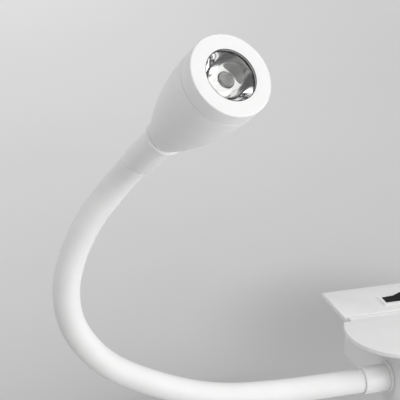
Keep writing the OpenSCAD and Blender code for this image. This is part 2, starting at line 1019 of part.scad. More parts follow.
module heat_sink() {
    back = sink_z - sink_t;
    step = sink_t / sink_steps;
    side = [for (k = [0 : sink_steps]) [inner_r(back + k * step) - 2 * fit, back + k * step]];
    color("gainsboro")
        at_head()
            difference() {
                rotate_extrude()
                    polygon(concat([[0, back]], side, [[0, sink_z]]));
                for (x = [-board_screw_x, board_screw_x])
                    translate([x, 0, back - over])
                        cylinder(d = board_screw_d + board_screw_play, h = sink_t + 2 * over);
                for (y = [-lead_x, lead_x])
                    translate([0, y, back - over])
                        cylinder(d = lead_hole_d, h = sink_t + 2 * over);
            }
}

module head_leads() {
    stud_end = rear_z + rear_wall + nut_t + stud_over;
    back = sink_z - sink_t;
    color("firebrick")
        at_head()
            for (side = [-1, 1])
                tube([
                    [0, side * wire_off, 0.3], [0, side * wire_off, stud_end],
                    [0, side * (wire_off + 1.2), stud_end + 8], [0, side * lead_x, back - 8],
                    [0, side * lead_x, back - 2], [0, side * lead_x, sink_z - 0.3]
                ], wire_d / 2);
}

wall_plate();
cable_grommet();
housing();
top_shelf();
shelf_screws();
housing_screws();
driver_case();
driver_lid();
driver_board();
driver_parts();
terminal_block();
terminal_screws();
switch_body();
switch_blades();
switch_rocker();
switch_contact();
base_collar();
base_washer();
base_nut();
mains_wires();
lamp_wires();
for (i = [0 : last]) {
    neck_sleeve(i);
    neck_conduit(i);
    neck_wires(i);
}
head_collar();
head_washer();
head_nut();
head_shell();
front_bezel();
bezel_seal();
lens();
lens_holder();
led_board();
led_package();
led_dome();
thermal_pad();
board_screws();
heat_sink();
head_leads();
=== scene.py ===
"""Looks of the wall sconce: a shelf-topped base, a bendable neck and an LED spot head."""

import json
import math

import bmesh
import bpy
from mathutils import Matrix, Vector

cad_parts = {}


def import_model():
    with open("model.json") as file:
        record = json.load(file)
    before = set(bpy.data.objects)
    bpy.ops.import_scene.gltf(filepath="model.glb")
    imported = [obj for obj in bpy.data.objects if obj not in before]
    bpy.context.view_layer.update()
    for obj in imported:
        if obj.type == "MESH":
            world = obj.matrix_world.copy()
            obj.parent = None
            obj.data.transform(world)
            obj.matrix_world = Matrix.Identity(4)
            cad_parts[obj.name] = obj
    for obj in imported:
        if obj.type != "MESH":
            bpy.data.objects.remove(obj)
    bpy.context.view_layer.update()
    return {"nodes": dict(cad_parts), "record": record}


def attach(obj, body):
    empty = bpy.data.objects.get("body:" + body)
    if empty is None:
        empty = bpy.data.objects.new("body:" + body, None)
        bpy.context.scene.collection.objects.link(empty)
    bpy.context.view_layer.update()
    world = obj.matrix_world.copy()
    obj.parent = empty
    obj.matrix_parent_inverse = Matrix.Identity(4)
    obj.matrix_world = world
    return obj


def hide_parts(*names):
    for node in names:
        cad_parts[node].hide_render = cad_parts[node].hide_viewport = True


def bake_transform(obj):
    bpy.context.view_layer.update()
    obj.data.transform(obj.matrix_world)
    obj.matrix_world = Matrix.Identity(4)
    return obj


MM = 0.001
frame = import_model()
nodes = frame["nodes"]
scene = bpy.context.scene
scene.view_settings.view_transform = "Standard"

# Sizes repeated from the part's source, in mm
HOUSING_W, HOUSING_D, HOUSING_CORNER, HOUSING_WALL = 120, 76, 8, 2
FLOOR_BOTTOM, FLOOR_TOP, SHELF_RISE, SHELF_T = -15, -13, 21.5, 2.5
SHELF_W, SHELF_D, SHELF_BULGE, SHELF_CORNER = 150, 80, 6, 30
GROOVE_Y, GROOVE_W, GROOVE_DEPTH, GROOVE_NOTCH = 30.5, 5, 1.2, 3
POSTS = [(x, y) for x in (-52, 52) for y in (-29, -70)]
POST_R, PILOT_R, PILOT_L = 3.5, 1.25, 14
TAB_HOLES, SCREW_HOLE_R = [(-28, -9), (28, -9)], 1.7
SWITCH, SWITCH_CUT = (-40, -19), (16.1, 8.5)
COLLAR_D, BASE_COLLAR_L, HEAD_COLLAR_L, SOCKET_L = 14.2, 13.5, 23.5, 9
WASHER_D, WASHER_T, STUD_R, STUD_BORE_R, STUD_PAST = 17.8, 1.5, 4.5, 3.2, 4
SLEEVE_D, LINK_L, PLUG_L = 12.4, 34, 8.5
LINK_BEND = [8, 7, 13, 9, 29, 43, 23, 38.1]
LINK_TURN = [-55, -25, 10, 0, 0, 0, -40, -114.6]
NECK_START = (-75, -56, 0)
HEAD_FRONT_D, HEAD_REAR_D, HEAD_L, BEZEL_L = 35, 14.5, 58, 8
APERTURE_D, BEZEL_FACE, BEZEL_WALL, HEAD_WALL, REAR_WALL = 22, 1.2, 2, 2, 4
LENS_D, LENS_H, FLANGE_T, SEAL_T = 24, 12.5, 2, 1
SLIDE_GAP = 0.05

# Camera, with its angles in degrees, its focal length in mm and its place in m
AZIMUTH, ELEVATION, ROLL = -18.16, 21.77, 0.87
FOCAL_LENGTH, SENSOR_W = 130, 36
CAMERA_PLACE = (-0.3581, -0.6498, 0.3587)
CLIP_NEAR, CLIP_FAR = 0.01, 60


def aim_camera():
    azimuth, elevation, roll = (math.radians(a) for a in (AZIMUTH, ELEVATION, ROLL))
    sa, ca = math.sin(azimuth), math.cos(azimuth)
    se, ce = math.sin(elevation), math.cos(elevation)
    right = Vector((ca, sa, 0))
    up = Vector((-se * sa, se * ca, ce))
    back = Vector((sa * ce, -ca * ce, se))
    turned_right = right * math.cos(roll) + up * math.sin(roll)
    turned_up = up * math.cos(roll) - right * math.sin(roll)
    data = bpy.data.cameras.new("camera")
    data.lens = FOCAL_LENGTH
    data.sensor_width = SENSOR_W
    data.clip_start = CLIP_NEAR
    data.clip_end = CLIP_FAR
    camera = bpy.data.objects.new("camera", data)
    turn = Matrix((turned_right, turned_up, back)).transposed().to_4x4()
    camera.matrix_world = Matrix.Translation(CAMERA_PLACE) @ turn
    scene.collection.objects.link(camera)
    scene.camera = camera


aim_camera()

# Materials, with textures per metre and depths in m
RANGE_KEYS = ("From Min", "From Max", "To Min", "To Max")
NOISE_LOW, NOISE_HIGH = 0.3, 0.7
PATCHES, GLOSS_PATCHES, GRAIN_DEPTH = 60, 240, 0.0002
SCRATCHES, SCRATCH_STRETCH, SCRATCH_BUMP, SCRATCH_DEPTH = 240, (1, 1, 30), 0.12, 0.0001
LENS_TINT, LENS_IOR = (0.97, 0.975, 0.97), 1.49


class Nodes:
    """Shorthand for one material's node tree."""

    def __init__(self, name):
        self.material = bpy.data.materials.new(name)
        self.material.use_nodes = True
        self.tree = self.material.node_tree
        self.shader = self.tree.nodes["Principled BSDF"]
        self.place = self.tree.nodes.new("ShaderNodeTexCoord").outputs["Object"]

    def add(self, kind, **settings):
        node = self.tree.nodes.new(kind)
        for key, value in settings.items():
            setattr(node, key, value)
        return node

    def link(self, a, b):
        self.tree.links.new(a, b)

    def set(self, **values):
        for key, value in values.items():
            self.shader.inputs[key.replace("_", " ")].default_value = value

    def noise(self, scale, detail=3, rough=0.55):
        node = self.add("ShaderNodeTexNoise")
        node.inputs["Scale"].default_value = scale
        node.inputs["Detail"].default_value = detail
        node.inputs["Roughness"].default_value = rough
        self.link(self.place, node.inputs["Vector"])
        return node.outputs["Fac"]

    def slope(self, value, low, high, start, end, kind="LINEAR"):
        """From start to end while the value goes from low to high, and level outside."""
        node = self.add("ShaderNodeMapRange", interpolation_type=kind)
        for key, number in zip(RANGE_KEYS, (low, high, start, end)):
            node.inputs[key].default_value = number
        self.link(value, node.inputs["Value"])
        return node.outputs["Result"]

    def spread(self, noise, start, end):
        return self.slope(noise, NOISE_LOW, NOISE_HIGH, start, end)

    def tint(self, noise, dark, light):
        node = self.add("ShaderNodeValToRGB")
        node.color_ramp.elements[0].position = NOISE_LOW
        node.color_ramp.elements[1].position = NOISE_HIGH
        node.color_ramp.elements[0].color = (*dark, 1)
        node.color_ramp.elements[1].color = (*light, 1)
        self.link(noise, node.inputs["Fac"])
        return node.outputs["Color"]

    def bump(self, height, strength, distance):
        node = self.add("ShaderNodeBump")
        node.inputs["Strength"].default_value = strength
        node.inputs["Distance"].default_value = distance
        self.link(height, node.inputs["Height"])
        self.link(node.outputs["Normal"], self.shader.inputs["Normal"])

    def maths(self, operation, a, b):
        """One step of arithmetic on numbers or sockets."""
        node = self.add("ShaderNodeMath", operation=operation)
        for socket, value in zip(node.inputs, (a, b)):
            if isinstance(value, (int, float)):
                socket.default_value = value
            else:
                self.link(value, socket)
        return node.outputs["Value"]


def surface(name, dark, light, rough, grain, bump, specular=0.5, glow=0.0):
    """A finish with patchy colour, uneven gloss and a fine grain. A glow, where given, is painted
    light.
    """
    m = Nodes(name)
    m.link(m.tint(m.noise(PATCHES), dark, light), m.shader.inputs["Base Color"])
    m.link(m.spread(m.noise(GLOSS_PATCHES), *rough), m.shader.inputs["Roughness"])
    m.bump(m.noise(grain, detail=4, rough=0.6), bump, GRAIN_DEPTH)
    m.set(Specular_IOR_Level=specular)
    if glow:
        m.set(Emission_Color=(*light, 1), Emission_Strength=glow)
    return m.material


def brushed(name, dark, light, rough):
    """A drawn or turned metal with fine scratches along one direction."""
    m = Nodes(name)
    stretch = m.add("ShaderNodeMapping")
    stretch.inputs["Scale"].default_value = SCRATCH_STRETCH
    m.link(m.place, stretch.inputs["Vector"])
    m.place = stretch.outputs["Vector"]
    scratch = m.noise(SCRATCHES, detail=5, rough=0.65)
    m.link(m.tint(scratch, dark, light), m.shader.inputs["Base Color"])
    m.link(m.spread(scratch, *rough), m.shader.inputs["Roughness"])
    m.bump(scratch, SCRATCH_BUMP, SCRATCH_DEPTH)
    m.set(Metallic=1.0)
    return m.material


def clear(name, tint, ior):
    m = Nodes(name)
    m.set(Base_Color=(*tint, 1), Transmission_Weight=1.0, IOR=ior, Roughness=0.0)
    return m.material


WHITE_COAT = surface(
    "white_powder_coat", (0.80, 0.80, 0.795), (0.83, 0.83, 0.825), (0.36, 0.44), 2600, 0.06
)
WHITE_PLASTIC = surface(
    "white_moulded_plastic", (0.79, 0.79, 0.785), (0.82, 0.82, 0.815), (0.42, 0.50), 1800, 0.05
)
SLEEVE = surface(
    "white_silicone_sleeve", (0.78, 0.78, 0.775), (0.81, 0.81, 0.805), (0.50, 0.58), 1500, 0.05
)
BLACK_PLASTIC = surface(
    "black_moulded_plastic",
    (0.006, 0.006, 0.006),
    (0.010, 0.010, 0.010),
    (0.48, 0.60),
    3000,
    0.10,
    specular=0.25,
)
HOLDER = surface(
    "grey_lens_holder", (0.15, 0.15, 0.15), (0.18, 0.18, 0.18), (0.30, 0.40), 2500, 0.08
)
RUBBER = surface(
    "black_rubber", (0.018, 0.018, 0.018), (0.030, 0.030, 0.030), (0.62, 0.75), 2200, 0.15
)
# Painted light: the board glows, though it is no lamp, in place of light the lens gathers onto it
BOARD_PAINTED_GLOW = surface(
    "white_solder_mask_painted_glow", (0.84, 0.84, 0.82), (0.88, 0.88, 0.86), (0.28, 0.36), 1600, 0.04, glow=0.8
)
GREEN = surface(
    "green_solder_mask", (0.010, 0.085, 0.030), (0.014, 0.110, 0.040), (0.25, 0.34), 1500, 0.05
)
CERAMIC = surface(
    "led_ceramic", (0.72, 0.70, 0.62), (0.78, 0.76, 0.68), (0.40, 0.50), 4000, 0.05
)
# Painted light: a faint glow on the phosphor lightens the LED seen through the lens' hollow
PHOSPHOR_PAINTED_GLOW = surface(
    "led_phosphor", (0.70, 0.62, 0.30), (0.78, 0.70, 0.38), (0.18, 0.28), 4000, 0.04, glow=0.25
)
DRIVER = surface(
    "ivory_plastic", (0.66, 0.64, 0.56), (0.71, 0.69, 0.61), (0.45, 0.55), 1800, 0.06
)
TAPE = surface(
    "yellow_tape", (0.42, 0.28, 0.03), (0.50, 0.34, 0.05), (0.30, 0.42), 1200, 0.08
)
BROWN = surface(
    "brown_insulation", (0.060, 0.026, 0.012), (0.078, 0.034, 0.016), (0.38, 0.48), 1600, 0.05
)
RED = surface(
    "red_insulation", (0.30, 0.016, 0.012), (0.36, 0.022, 0.016), (0.38, 0.48), 1600, 0.05
)
PAD = surface(
    "grey_thermal_pad", (0.26, 0.26, 0.27), (0.30, 0.30, 0.31), (0.70, 0.80), 1400, 0.12
)
ZINC = brushed("zinc_plated_steel", (0.46, 0.46, 0.46), (0.60, 0.60, 0.60), (0.30, 0.42))
STEEL = brushed("steel_conduit", (0.40, 0.40, 0.40), (0.52, 0.52, 0.52), (0.32, 0.44))
ALUMINIUM = brushed("turned_aluminium", (0.60, 0.60, 0.61), (0.70, 0.70, 0.71), (0.28, 0.38))
BRASS = brushed("plain_brass", (0.58, 0.38, 0.12), (0.70, 0.48, 0.18), (0.24, 0.34))
COPPER = brushed("copper_strip", (0.58, 0.24, 0.12), (0.68, 0.31, 0.17), (0.24, 0.34))
LENS = clear("clear_lens", LENS_TINT, LENS_IOR)

SLOT_MATERIALS = {
    "wall_steel": ZINC,
    "black_rubber": RUBBER,
    "white_plastic": WHITE_PLASTIC,
    "screw_steel": ZINC,
    "driver_plastic": DRIVER,
    "green_board": GREEN,
    "component": TAPE,
    "terminal_plastic": WHITE_PLASTIC,
    "brass": BRASS,
    "copper": COPPER,
    "black_plastic": BLACK_PLASTIC,
    "white_collar": WHITE_COAT,
    "wire_brown": BROWN,
    "wire_red": RED,
    "neck_sleeve": SLEEVE,
    "conduit_steel": STEEL,
    "white_aluminium": WHITE_COAT,
    "clear_lens": LENS,
    "white_board": BOARD_PAINTED_GLOW,
    "led_ceramic": CERAMIC,
    "led_phosphor": PHOSPHOR_PAINTED_GLOW,
    "grey_pad": PAD,
    "bare_aluminium": ALUMINIUM,
}
node_slot = {s["node"]: s["material_slot"] for s in frame["record"]["subparts"]}
for name, obj in nodes.items():
    obj.data.materials.clear()
    obj.data.materials.append(SLOT_MATERIALS[node_slot[name]])
nodes["lens_holder"].data.materials[0] = HOLDER


# Places along the neck, in mm
def turn_about(axis, degrees):
    return Matrix.Rotation(math.radians(degrees), 4, axis)


def along_link(i, s):
    """From the start of link i to the place s mm further along it."""
    radius = LINK_L / math.radians(LINK_BEND[i])
    angle = s / radius
    shift = Matrix.Translation((radius * (1 - math.cos(angle)), 0, radius * math.sin(angle)))
    bend = Matrix.Rotation(angle, 4, "Y")
    return turn_about("Z", LINK_TURN[i]) @ shift @ bend @ turn_about("Z", -LINK_TURN[i])


LINK_STARTS = [Matrix.Translation(NECK_START) @ turn_about("Y", -90)]
for i in range(len(LINK_BEND)):
    LINK_STARTS.append(LINK_STARTS[-1] @ along_link(i, LINK_L))
HEAD_PLACE = LINK_STARTS[-1]
BASE_COLLAR_PLACE = Matrix.Translation(NECK_START) @ turn_about("Y", 90)
NECK_L = LINK_L * len(LINK_BEND)


def neck_place(s):
    """Frame on the neck's axis, s mm from the base collar's mouth."""
    if s <= 0:
        return LINK_STARTS[0] @ Matrix.Translation((0, 0, s))
    if s >= NECK_L:
        return HEAD_PLACE @ Matrix.Translation((0, 0, s - NECK_L))
    i = min(int(s // LINK_L), len(LINK_BEND) - 1)
    return LINK_STARTS[i] @ along_link(i, s - i * LINK_L)


# Mesh makers, in mm, with sharp angles in degrees
TURN_SIDES, HEAD_SIDES, LENS_SIDES, BAR_SIDES, SLEEVE_SIDES = 128, 160, 192, 48, 64
TURN_SHARP, HEAD_SHARP, LENS_SHARP, BOX_SHARP, SLEEVE_SHARP = 35, 30, 25, 30, 60
BEVEL_ANGLE, CARVED_STEPS, CAD_STEPS = 40, 4, 3


def finish_mesh(name, mesh, material, body, replaced, sharp=TURN_SHARP):
    """Puts a finished mesh, in mm, on its body and in place of its CAD nodes."""
    mesh.transform(Matrix.Scale(MM, 4))
    mesh.shade_smooth()
    mesh.set_sharp_from_angle(angle=math.radians(sharp))
    mesh.materials.append(material)
    obj = bpy.data.objects.new(name, mesh)
    scene.collection.objects.link(obj)
    if body:
        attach(obj, body)
    if replaced:
        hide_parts(*replaced)
    return obj


def mesh_from(name, verts, faces):
    mesh = bpy.data.meshes.new(name)
    mesh.from_pydata([tuple(v) for v in verts], [], faces)
    bm = bmesh.new()
    bm.from_mesh(mesh)
    bmesh.ops.recalc_face_normals(bm, faces=bm.faces)
    bm.to_mesh(mesh)
    bm.free()
    return mesh


def ring(r, z, sides, place):
    """Points round the place's z axis."""
    angles = (2 * math.pi * k / sides for k in range(sides))
    return [place @ Vector((r * math.cos(a), r * math.sin(a), z)) for a in angles]


def rounded(corners):
    """Closed profile from (r, z, fillet radius, steps) corners."""
    out = []
    count = len(corners)
    for k, (r, z, fillet, steps) in enumerate(corners):
        here = Vector((r, z))
        if fillet <= 0:
            out.append((r, z))
            continue
        before = (Vector(corners[k - 1][:2]) - here).normalized()
        after = (Vector(corners[(k + 1) % count][:2]) - here).normalized()
        half = before.angle(after) / 2
        reach = fillet / math.tan(half)
        centre = here + (before + after).normalized() * (fillet / math.sin(half))
        a = here + before * reach - centre
        b = here + after * reach - centre
        sweep = math.pi - 2 * half
        side = 1 if a.x * b.y - a.y * b.x > 0 else -1
        for n in range(steps + 1):
            angle = side * sweep * n / steps
            ca, sa = math.cos(angle), math.sin(angle)
            out.append((centre.x + a.x * ca - a.y * sa, centre.y + a.x * sa + a.y * ca))
    return out


def lathe(name, profile, place, sides=TURN_SIDES):
    """Closed mesh turned from a closed (r, z) profile about the place's z axis."""
    verts = []
    rings = []
    for r, z in profile:
        if r < 1e-6:
            rings.append([len(verts)] * sides)
            verts.append(place @ Vector((0, 0, z)))
            continue
        rings.append(list(range(len(verts), len(verts) + sides)))
        verts += ring(r, z, sides, place)
    faces = []
    for n in range(len(rings)):
        low, high = rings[n], rings[(n + 1) % len(rings)]
        if low[0] == low[-1] and high[0] == high[-1]:
            continue
        for k in range(sides):
            j = (k + 1) % sides
            face = [low[k], low[j], high[j], high[k]]
            face = [v for p, v in enumerate(face) if v not in face[:p]]
            faces.append(face)
    return mesh_from(name, verts, faces)


def prism(outline, low, high):
    """Solid from an (x, y) outline between two heights, as a bmesh."""
    bm = bmesh.new()
    base = bm.faces.new([bm.verts.new((x, y, low)) for x, y in outline])
    top = bmesh.ops.extrude_face_region(bm, geom=[base])["geom"]
    for v in top:
        if isinstance(v, bmesh.types.BMVert):
            v.co.z = high
    bmesh.ops.recalc_face_normals(bm, faces=bm.faces)
    return bm


def arc(cx, cy, r, start, stop, steps):
    points = []
    for k in range(steps + 1):
        angle = math.radians(start + (stop - start) * k / steps)
        points.append((cx + r * math.cos(angle), cy + r * math.sin(angle)))
    return points


def rod(r, low, high, place):
    """Solid round bar along the place's z axis, as a bmesh."""
    mesh = lathe("rod", [(0, low), (r, low), (r, high), (0, high)], place, BAR_SIDES)
    bm = bmesh.new()
    bm.from_mesh(mesh)
    bpy.data.meshes.remove(mesh)
    return bm


def box_outline(x0, x1, y0, y1):
    return [(x0, y0), (x1, y0), (x1, y1), (x0, y1)]


def to_object(name, bm):
    mesh = bpy.data.meshes.new(name)
    bm.to_mesh(mesh)
    bm.free()
    obj = bpy.data.objects.new(name, mesh)
    scene.collection.objects.link(obj)
    return obj


def applied(obj):
    """The object's mesh with its modifiers applied. The object is removed."""
    bpy.context.view_layer.update()
    depsgraph = bpy.context.evaluated_depsgraph_get()
    mesh = bpy.data.meshes.new_from_object(obj.evaluated_get(depsgraph))
    bpy.data.objects.remove(obj)
    return mesh


def round_edges(obj, width, steps):
    edge = obj.modifiers.new("edge", "BEVEL")
    edge.width = width
    edge.segments = steps
    edge.limit_method = "ANGLE"
    edge.angle_limit = math.radians(BEVEL_ANGLE)


def carve(name, body, cuts, edge):
    """A solid less its cuts, with its edges rounded by edge mm."""
    obj = to_object(name + "_raw", body)
    tools = [to_object(name + "_cut", c) for c in cuts]
    for tool in tools:
        modifier = obj.modifiers.new("cut", "BOOLEAN")
        modifier.operation = "DIFFERENCE"
        modifier.solver = "EXACT"
        modifier.object = tool
    if edge:
        round_edges(obj, edge, CARVED_STEPS)
    mesh = applied(obj)
    for tool in tools:
        bpy.data.objects.remove(tool)
    return mesh


# Neck sleeve: one piece over each joint, bent along the neck's rest shape, in mm along the neck
STATION, FINE_STATION, FINE_REACH = 1.0, 0.2, 4
BASE_TUCK, BASE_TUCK_L = 0.05, 2.5
HEAD_TUCK, HEAD_TUCK_L = 0.7, 3.2
BODIES = ["base", *(f"neck_{k}" for k in range(2, len(LINK_BEND))), "head"]


def sleeve_r(s):
    """The sleeve is drawn in where it goes into a collar, more so at the head."""
    base = min(max(BASE_TUCK_L - s, 0), 1)
    head = min(max(s - NECK_L + HEAD_TUCK_L, 0), 1)
    return SLEEVE_D / 2 - BASE_TUCK * base - HEAD_TUCK * head


def sleeve_mesh(name, low, high):
    count = round((high - low) / STATION)
    fine = round(FINE_REACH / FINE_STATION)
    stations = [low + (high - low) * n / count for n in range(count + 1)]
    stations += [mouth + k * FINE_STATION for mouth in (0, NECK_L) for k in range(-fine, fine + 1)]
    stations = sorted({round(s, 3) for s in stations if low <= s <= high})
    verts = []
    for s in stations:
        verts += ring(sleeve_r(s), 0, SLEEVE_SIDES, neck_place(s))
    faces = []
    for n in range(len(stations) - 1):
        for k in range(SLEEVE_SIDES):
            a, b = n * SLEEVE_SIDES + k, n * SLEEVE_SIDES + (k + 1) % SLEEVE_SIDES
            faces.append([a, b, b + SLEEVE_SIDES, a + SLEEVE_SIDES])
    return mesh_from(name, verts, faces)


LAST_JOINT = len(BODIES) - 1
for index in range(1, len(BODIES)):
    name = f"sleeve_{index}"
    low = -PLUG_L if index == 1 else LINK_L * (index - 0.5)
    high = NECK_L + PLUG_L if index == LAST_JOINT else LINK_L * (index + 0.5)
    replaced = [f"neck_sleeve_{index}"]
    if index == LAST_JOINT:
        replaced.append(f"neck_sleeve_{index + 1}")
    mesh = sleeve_mesh(name, low, high)
    piece = finish_mesh(name, mesh, SLEEVE, None, replaced, SLEEVE_SHARP)
    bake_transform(piece)

# Collars and washers, with rounded edges. The washers are a little smaller than in the CAD
MOUTH_EDGE, COLLAR_FRONT_EDGE, COLLAR_REAR_EDGE = 0.15, 0.5, 0.35
WASHER_EDGE, WASHER_INSET = 0.3, 0.5


def collar_profile(length, wall):
    r, mouth = COLLAR_D / 2, SLEEVE_D / 2 + SLIDE_GAP
    end = length + WASHER_T + wall + STUD_PAST
    return rounded(
        [
            (mouth, 0, MOUTH_EDGE, 3),
            (r, 0, COLLAR_FRONT_EDGE, 6),
            (r, length, COLLAR_REAR_EDGE, 5),
            (STUD_R, length, 0, 0),
            (STUD_R, end, 0, 0),
            (STUD_BORE_R, end, 0, 0),
            (STUD_BORE_R, SOCKET_L, 0, 0),
            (mouth, SOCKET_L, 0, 0),
        ]
    )


def washer_profile(front):
    r, hole = WASHER_D / 2 - WASHER_INSET, STUD_R + SLIDE_GAP
    rear = front + WASHER_T
    return rounded(
        [
            (hole, front, 0, 0),
            (r, front, WASHER_EDGE, 5),
            (r, rear, WASHER_EDGE, 5),
            (hole, rear, 0, 0),
        ]
    )


for side, place, length, wall in (
    ("base", BASE_COLLAR_PLACE, BASE_COLLAR_L, HOUSING_WALL),
    ("head", HEAD_PLACE, HEAD_COLLAR_L, REAR_WALL),
):
    profiles = {"collar": collar_profile(length, wall), "washer": washer_profile(length)}
    for piece, profile in profiles.items():
        name = f"{side}_{piece}_turned"
        mesh = lathe(name, profile, place)
        finish_mesh(name, mesh, WHITE_COAT, side, [f"{side}_{piece}"])

# Head, along its own axis
REAR_Z = HEAD_COLLAR_L + WASHER_T
FRONT_Z = REAR_Z + HEAD_L
SEAM_Z = FRONT_Z - BEZEL_L
FACE_Z = FRONT_Z - BEZEL_FACE
BODY_LEN = HEAD_L - BEZEL_L
SPIGOT_R = HEAD_FRONT_D / 2 - BEZEL_WALL - SLIDE_GAP
SPIGOT_Z = FACE_Z - SEAL_T
BORE_R = SPIGOT_R - HEAD_WALL
HEAD_DROP = (HEAD_FRONT_D - HEAD_REAR_D) / 2
SHELL_STEPS, BORE_STEPS = 60, 24
REAR_EDGE, REAR_EDGE_OUT, REAR_EDGE_TURNS = 0.5, 0.6, (0.4, 0.8, 1.2)
SHELL_EDGE, SHELL_EDGE_MID = 0.08, 0.02
SEAM_GAP, BEZEL_REAR_EDGE, BEZEL_FRONT_EDGE, HOLE_EDGE = 0.15, 0.4, 0.55, 0.06
LIP_GAP, LIP_W, LIP_TOP, LIP_BOTTOM, LIP_SLOPE, LIP_EDGE = 0.02, 0.3, 0.08, 0.22, 0.02, 0.03


def head_r(z):
    return HEAD_FRONT_D / 2 - HEAD_DROP * ((SEAM_Z - z) / BODY_LEN) ** 2


def shell_profile():
    rear, edge, hole = head_r(REAR_Z) - REAR_EDGE, head_r(SEAM_Z), STUD_R + SLIDE_GAP
    out = [(hole, REAR_Z), (rear, REAR_Z)]
    for a in REAR_EDGE_TURNS:
        out.append((rear + REAR_EDGE_OUT * math.sin(a), REAR_Z + REAR_EDGE * (1 - math.cos(a))))
    for k in range(SHELL_STEPS + 1):
        z = REAR_Z + REAR_EDGE + k * (BODY_LEN - REAR_EDGE - SHELL_EDGE) / SHELL_STEPS
        out.append((head_r(z), z))
    out += [(edge - SHELL_EDGE_MID, SEAM_Z - SHELL_EDGE_MID), (edge - SHELL_EDGE, SEAM_Z)]
    out += [(SPIGOT_R, SEAM_Z), (SPIGOT_R, SPIGOT_Z), (BORE_R, SPIGOT_Z)]
    for k in range(BORE_STEPS, -1, -1):
        z = REAR_Z + REAR_WALL + k * (BODY_LEN - REAR_WALL) / BORE_STEPS
        out.append((min(head_r(z) - HEAD_WALL, BORE_R), z))
    return out + [(hole, REAR_Z + REAR_WALL)]


def bezel_profile():
    r, hole = HEAD_FRONT_D / 2, APERTURE_D / 2
    return rounded(
        [
            (r - BEZEL_WALL, SEAM_Z + SEAM_GAP, 0, 0),
            (r, SEAM_Z + SEAM_GAP, BEZEL_REAR_EDGE, 6),
            (r, FRONT_Z, BEZEL_FRONT_EDGE, 8),
            (hole, FRONT_Z, HOLE_EDGE, 3),
            (hole, FACE_Z, 0, 0),
            (r - BEZEL_WALL, FACE_Z, 0, 0),
        ]
    )


def lip_profile():
    """Thin lip of the bezel's seal, just inside the rim of the opening. Its black rubber also
    paints the shadow line in the gap at the rim.
    """
    r = APERTURE_D / 2 - LIP_GAP
    top, bottom = FRONT_Z - LIP_TOP, FRONT_Z - LIP_BOTTOM
    return rounded(
        [
            (r, top, 0, 0),
            (r - LIP_W, top - LIP_SLOPE, LIP_EDGE, 2),
            (r - LIP_W, bottom + LIP_SLOPE, LIP_EDGE, 2),
            (r, bottom, 0, 0),
        ]
    )


for name, profile, material, slot, replaced in (
    ("head_shell_turned", shell_profile(), WHITE_COAT, "white_aluminium", ["head_shell"]),
    ("front_bezel_turned", bezel_profile(), WHITE_COAT, "white_aluminium", ["front_bezel"]),
    # The black lip is partly the seal and partly a painted shadow in the gap at the rim
    ("seal_lip", lip_profile(), RUBBER, "black_rubber", []),
):
    mesh = lathe(name, profile, HEAD_PLACE, HEAD_SIDES)
    finish_mesh(name, mesh, material, "head", replaced, HEAD_SHARP)

# Lens, with a wall and hollow of its own, fitted to the look of the photo's lens
LENS_Z = FACE_Z - LENS_H
LENS_REAR_R, WALL_BULGE, WALL_LEAN = 5.16, 0.79, 0.46
HOLLOW_R, HOLLOW_L, HOLLOW_DROP = 3.7, 7.02, 1.19
FLANGE_W, LENS_EDGE = 1, 0.1
DOME_STEPS, WALL_STEPS = 12, 32
MILKY_INNER_R, MILKY_OUTER_R = 2.9, 3.4
MILKY_ROUGHNESS, MILKY_TRANSMISSION = 0.3, 0.76


def lens_wall(t):
    """Radius of the curved wall, from the rear at t = 0 to the flange at t = 1."""
    bulge = WALL_BULGE * 4 * t * (1 - t) * (1 + WALL_LEAN * (1 - 2 * t))
    return LENS_REAR_R + (LENS_D / 2 - FLANGE_W - LENS_REAR_R) * t + bulge


def hollow_top(t):
    """Height of the hollow's domed top, from its middle at t = 0 to its side at t = 1."""
    return LENS_Z + HOLLOW_L - HOLLOW_DROP * (1 - t**2)


def lens_profile():
    edge, seat, rear = LENS_D / 2, FACE_Z - FLANGE_T, LENS_Z + LENS_EDGE
    dome = [k / DOME_STEPS for k in range(DOME_STEPS + 1)]
    wall = [k / WALL_STEPS for k in range(WALL_STEPS + 1)]
    out = [(HOLLOW_R * t, hollow_top(t)) for t in dome]
    out += [(HOLLOW_R, rear), (HOLLOW_R + LENS_EDGE, LENS_Z), (LENS_REAR_R - LENS_EDGE, LENS_Z)]
    out += [(lens_wall(t), rear + (seat - rear) * t) for t in wall]
    out += [(edge - LENS_EDGE, seat), (edge, seat + LENS_EDGE)]
    return out + [(edge, FACE_Z - LENS_EDGE), (edge - LENS_EDGE, FACE_Z), (0, FACE_Z)]


def stippled_lens():
    """Clear plastic, rough and a little milky on the hollow's domed top."""
    m = Nodes("stippled_lens")
    m.set(Base_Color=(*LENS_TINT, 1), IOR=LENS_IOR)
    off = m.add("ShaderNodeVectorMath", operation="DISTANCE")
    off.inputs[1].default_value = HEAD_PLACE @ Vector((0, 0, LENS_Z + HOLLOW_L)) * MM
    m.link(m.place, off.inputs[0])
    for socket, milky, plain in (
        ("Roughness", MILKY_ROUGHNESS, 0.0),
        ("Transmission Weight", MILKY_TRANSMISSION, 1.0),
    ):
        distance = off.outputs["Value"]
        value = m.slope(distance, MILKY_INNER_R * MM, MILKY_OUTER_R * MM, milky, plain)
        m.link(value, m.shader.inputs[socket])
    return m.material


mesh = lathe("lens_moulded", lens_profile(), HEAD_PLACE, LENS_SIDES)
finish_mesh("lens_moulded", mesh, stippled_lens(), "head", ["lens"], LENS_SHARP)

# Shelf and housing
SHELF_EDGE, HOUSING_EDGE = 0.7, 0.6
SHELF_ARC_STEPS, HOUSING_ARC_STEPS = 40, 16
CUT_PAST, HOLE_PAST = 5, 1


